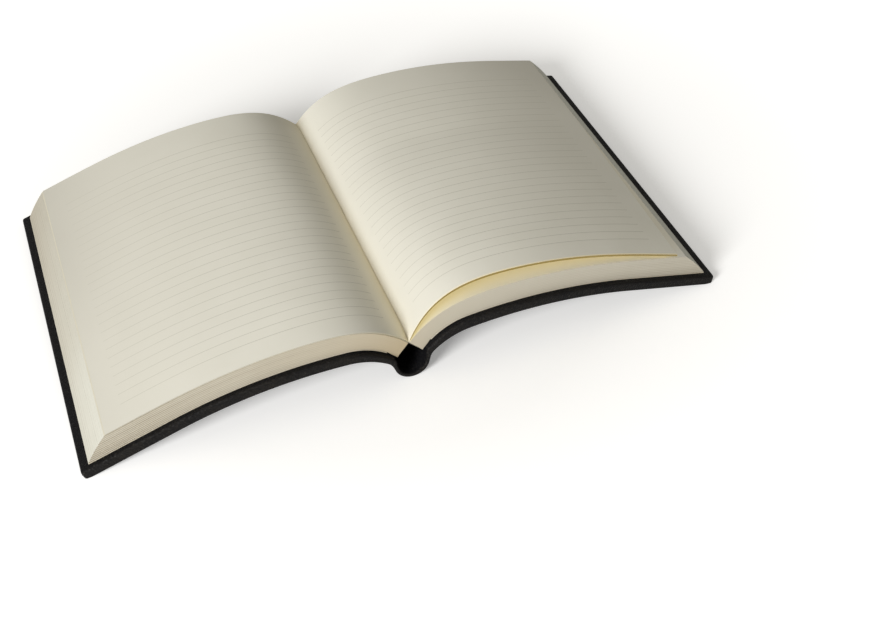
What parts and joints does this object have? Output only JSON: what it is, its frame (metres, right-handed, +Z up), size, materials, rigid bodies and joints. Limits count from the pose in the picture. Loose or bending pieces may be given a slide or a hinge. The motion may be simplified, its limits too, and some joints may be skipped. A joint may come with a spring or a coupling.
{
  "type": "leather journal",
  "caption": "Leather-bound ruled journal lying open, with arched pages, a hollow back and two hinged padded covers.",
  "frame": {"origin": "middle of the spine at table level", "axes": "+X across the open spread to the right-hand fore-edge, +Y along the spine from foot to head, +Z up out of the pages"},
  "size_m": [0.316, 0.2, 0.0459],
  "materials": {
    "paper": "uncoated cream writing paper",
    "endpaper": "plain cream endpaper",
    "leather": "fine-grained black leather",
    "lining": "dark glued cloth"
  },
  "bodies": {
    "book_block": {"text_block": "paper", "spine_lining": "lining", "spine": "leather"},
    "front_board": {"front_cover": "leather", "front_endpaper": "endpaper"},
    "back_board": {"back_cover": "leather", "back_endpaper": "endpaper"}
  },
  "joints": [
    {"name": "front_hinge", "type": "hinge", "parent": "book_block", "child": "front_board", "pos_m": [-0.0091, 0, 0.0098], "axis": [0, -1, 0], "range_deg": [0, 85]},
    {"name": "back_hinge", "type": "hinge", "parent": "book_block", "child": "back_board", "pos_m": [0.0091, 0, 0.0098], "axis": [0, 1, 0], "range_deg": [0, 85]}
  ]
}
